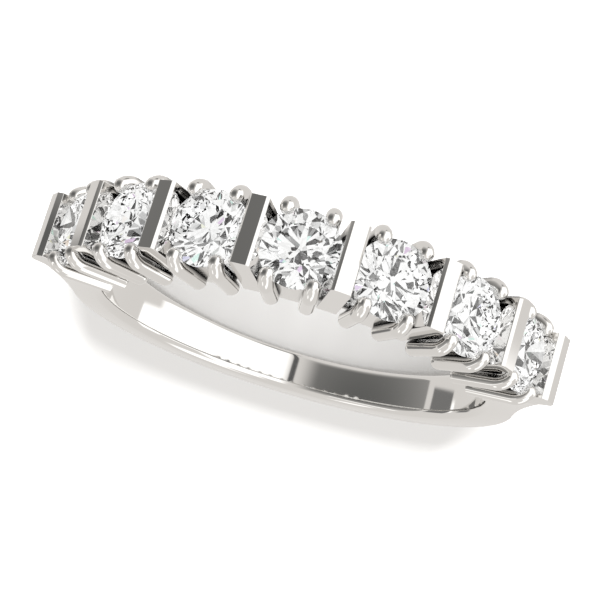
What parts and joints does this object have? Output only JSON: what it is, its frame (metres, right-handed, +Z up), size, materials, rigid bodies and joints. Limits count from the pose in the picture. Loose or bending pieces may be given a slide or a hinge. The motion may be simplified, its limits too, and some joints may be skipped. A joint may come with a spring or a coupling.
{
  "type": "bar set band ring",
  "caption": "Finger ring with a row of round brilliants held by claws between upright flat bars, on a plain tapering shank.",
  "frame": {"origin": "middle of the finger hole, on its axis and on the middle plane of the band", "axes": "+Z up, the ring lies on its side and the finger hole's axis leans 4.5 degrees from it towards +Y; -Y towards the middle stone, +X along the row of stones"},
  "size_m": [0.0228, 0.022, 0.0046],
  "materials": {
    "white_gold": "polished rhodium-plated white gold",
    "diamond": "clear, brilliant cut, polished facets"
  },
  "bodies": {
    "root": {"band": "white_gold", "stone_1": "diamond", "stone_2": "diamond", "stone_3": "diamond", "stone_4": "diamond", "stone_5": "diamond", "stone_6": "diamond", "stone_7": "diamond"}
  },
  "joints": []
}
